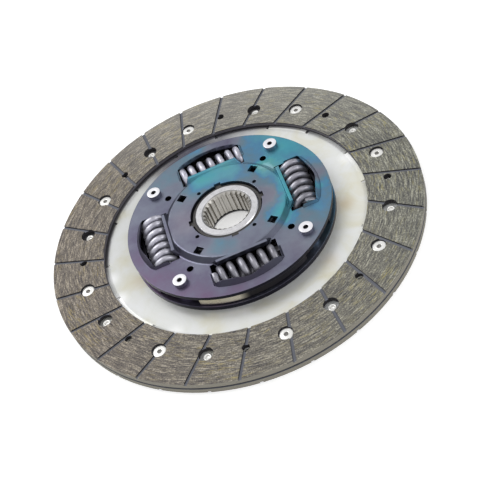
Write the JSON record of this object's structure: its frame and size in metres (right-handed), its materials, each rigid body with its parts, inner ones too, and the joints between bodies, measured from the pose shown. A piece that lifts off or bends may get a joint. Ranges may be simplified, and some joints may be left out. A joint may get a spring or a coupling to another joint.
{
  "type": "clutch disc",
  "caption": "Dry clutch friction disc with grooved, riveted facings, a blued torsional damper with coil springs and a splined steel hub.",
  "frame": {"origin": "on the lower friction face's plane, at the disc's axis", "axes": "+Z along the disc's axis, towards the cover plate; +X through the middle of a spring window"},
  "size_m": [0.224, 0.224, 0.0191],
  "materials": {
    "facing": "moulded woven-yarn friction facing",
    "rivet": "bright plated steel rivet heads",
    "cushion": "bright spring steel sheet",
    "blued_plate": "blued pressed steel, purple-grey to teal",
    "hub": "bright machined steel",
    "pin": "bright turned steel",
    "bush": "dark moulded bush",
    "washer": "moulded friction washer",
    "inner_steel": "plain steel sheet",
    "spring": "oil-tempered spring wire"
  },
  "bodies": {
    "plates": {"upper_facing": "facing", "lower_facing": "facing", "upper_facing_rivets": "rivet", "lower_facing_rivets": "rivet", "cushion_plate": "cushion", "cover_plate": "blued_plate", "disc_plate": "blued_plate", "stop_pins": "pin", "upper_bush": "bush", "lower_bush": "bush", "upper_friction_washer": "washer", "lower_friction_washer": "washer", "control_plate": "inner_steel", "cone_spring": "inner_steel", "lower_thrust_ring": "inner_steel", "damper_spring_1": "spring", "damper_spring_2": "spring", "damper_spring_3": "spring", "damper_spring_4": "spring"},
    "hub": {"hub": "hub"}
  },
  "joints": [
    {"name": "hub_turn", "type": "hinge", "parent": "plates", "child": "hub", "pos_m": [0, 0, 0.00995], "axis": [0, 0, 1], "range_deg": [-8, 8], "stiffness_Nm_per_rad": 20, "deforming": ["damper_spring_1", "damper_spring_2", "damper_spring_3", "damper_spring_4"]}
  ]
}
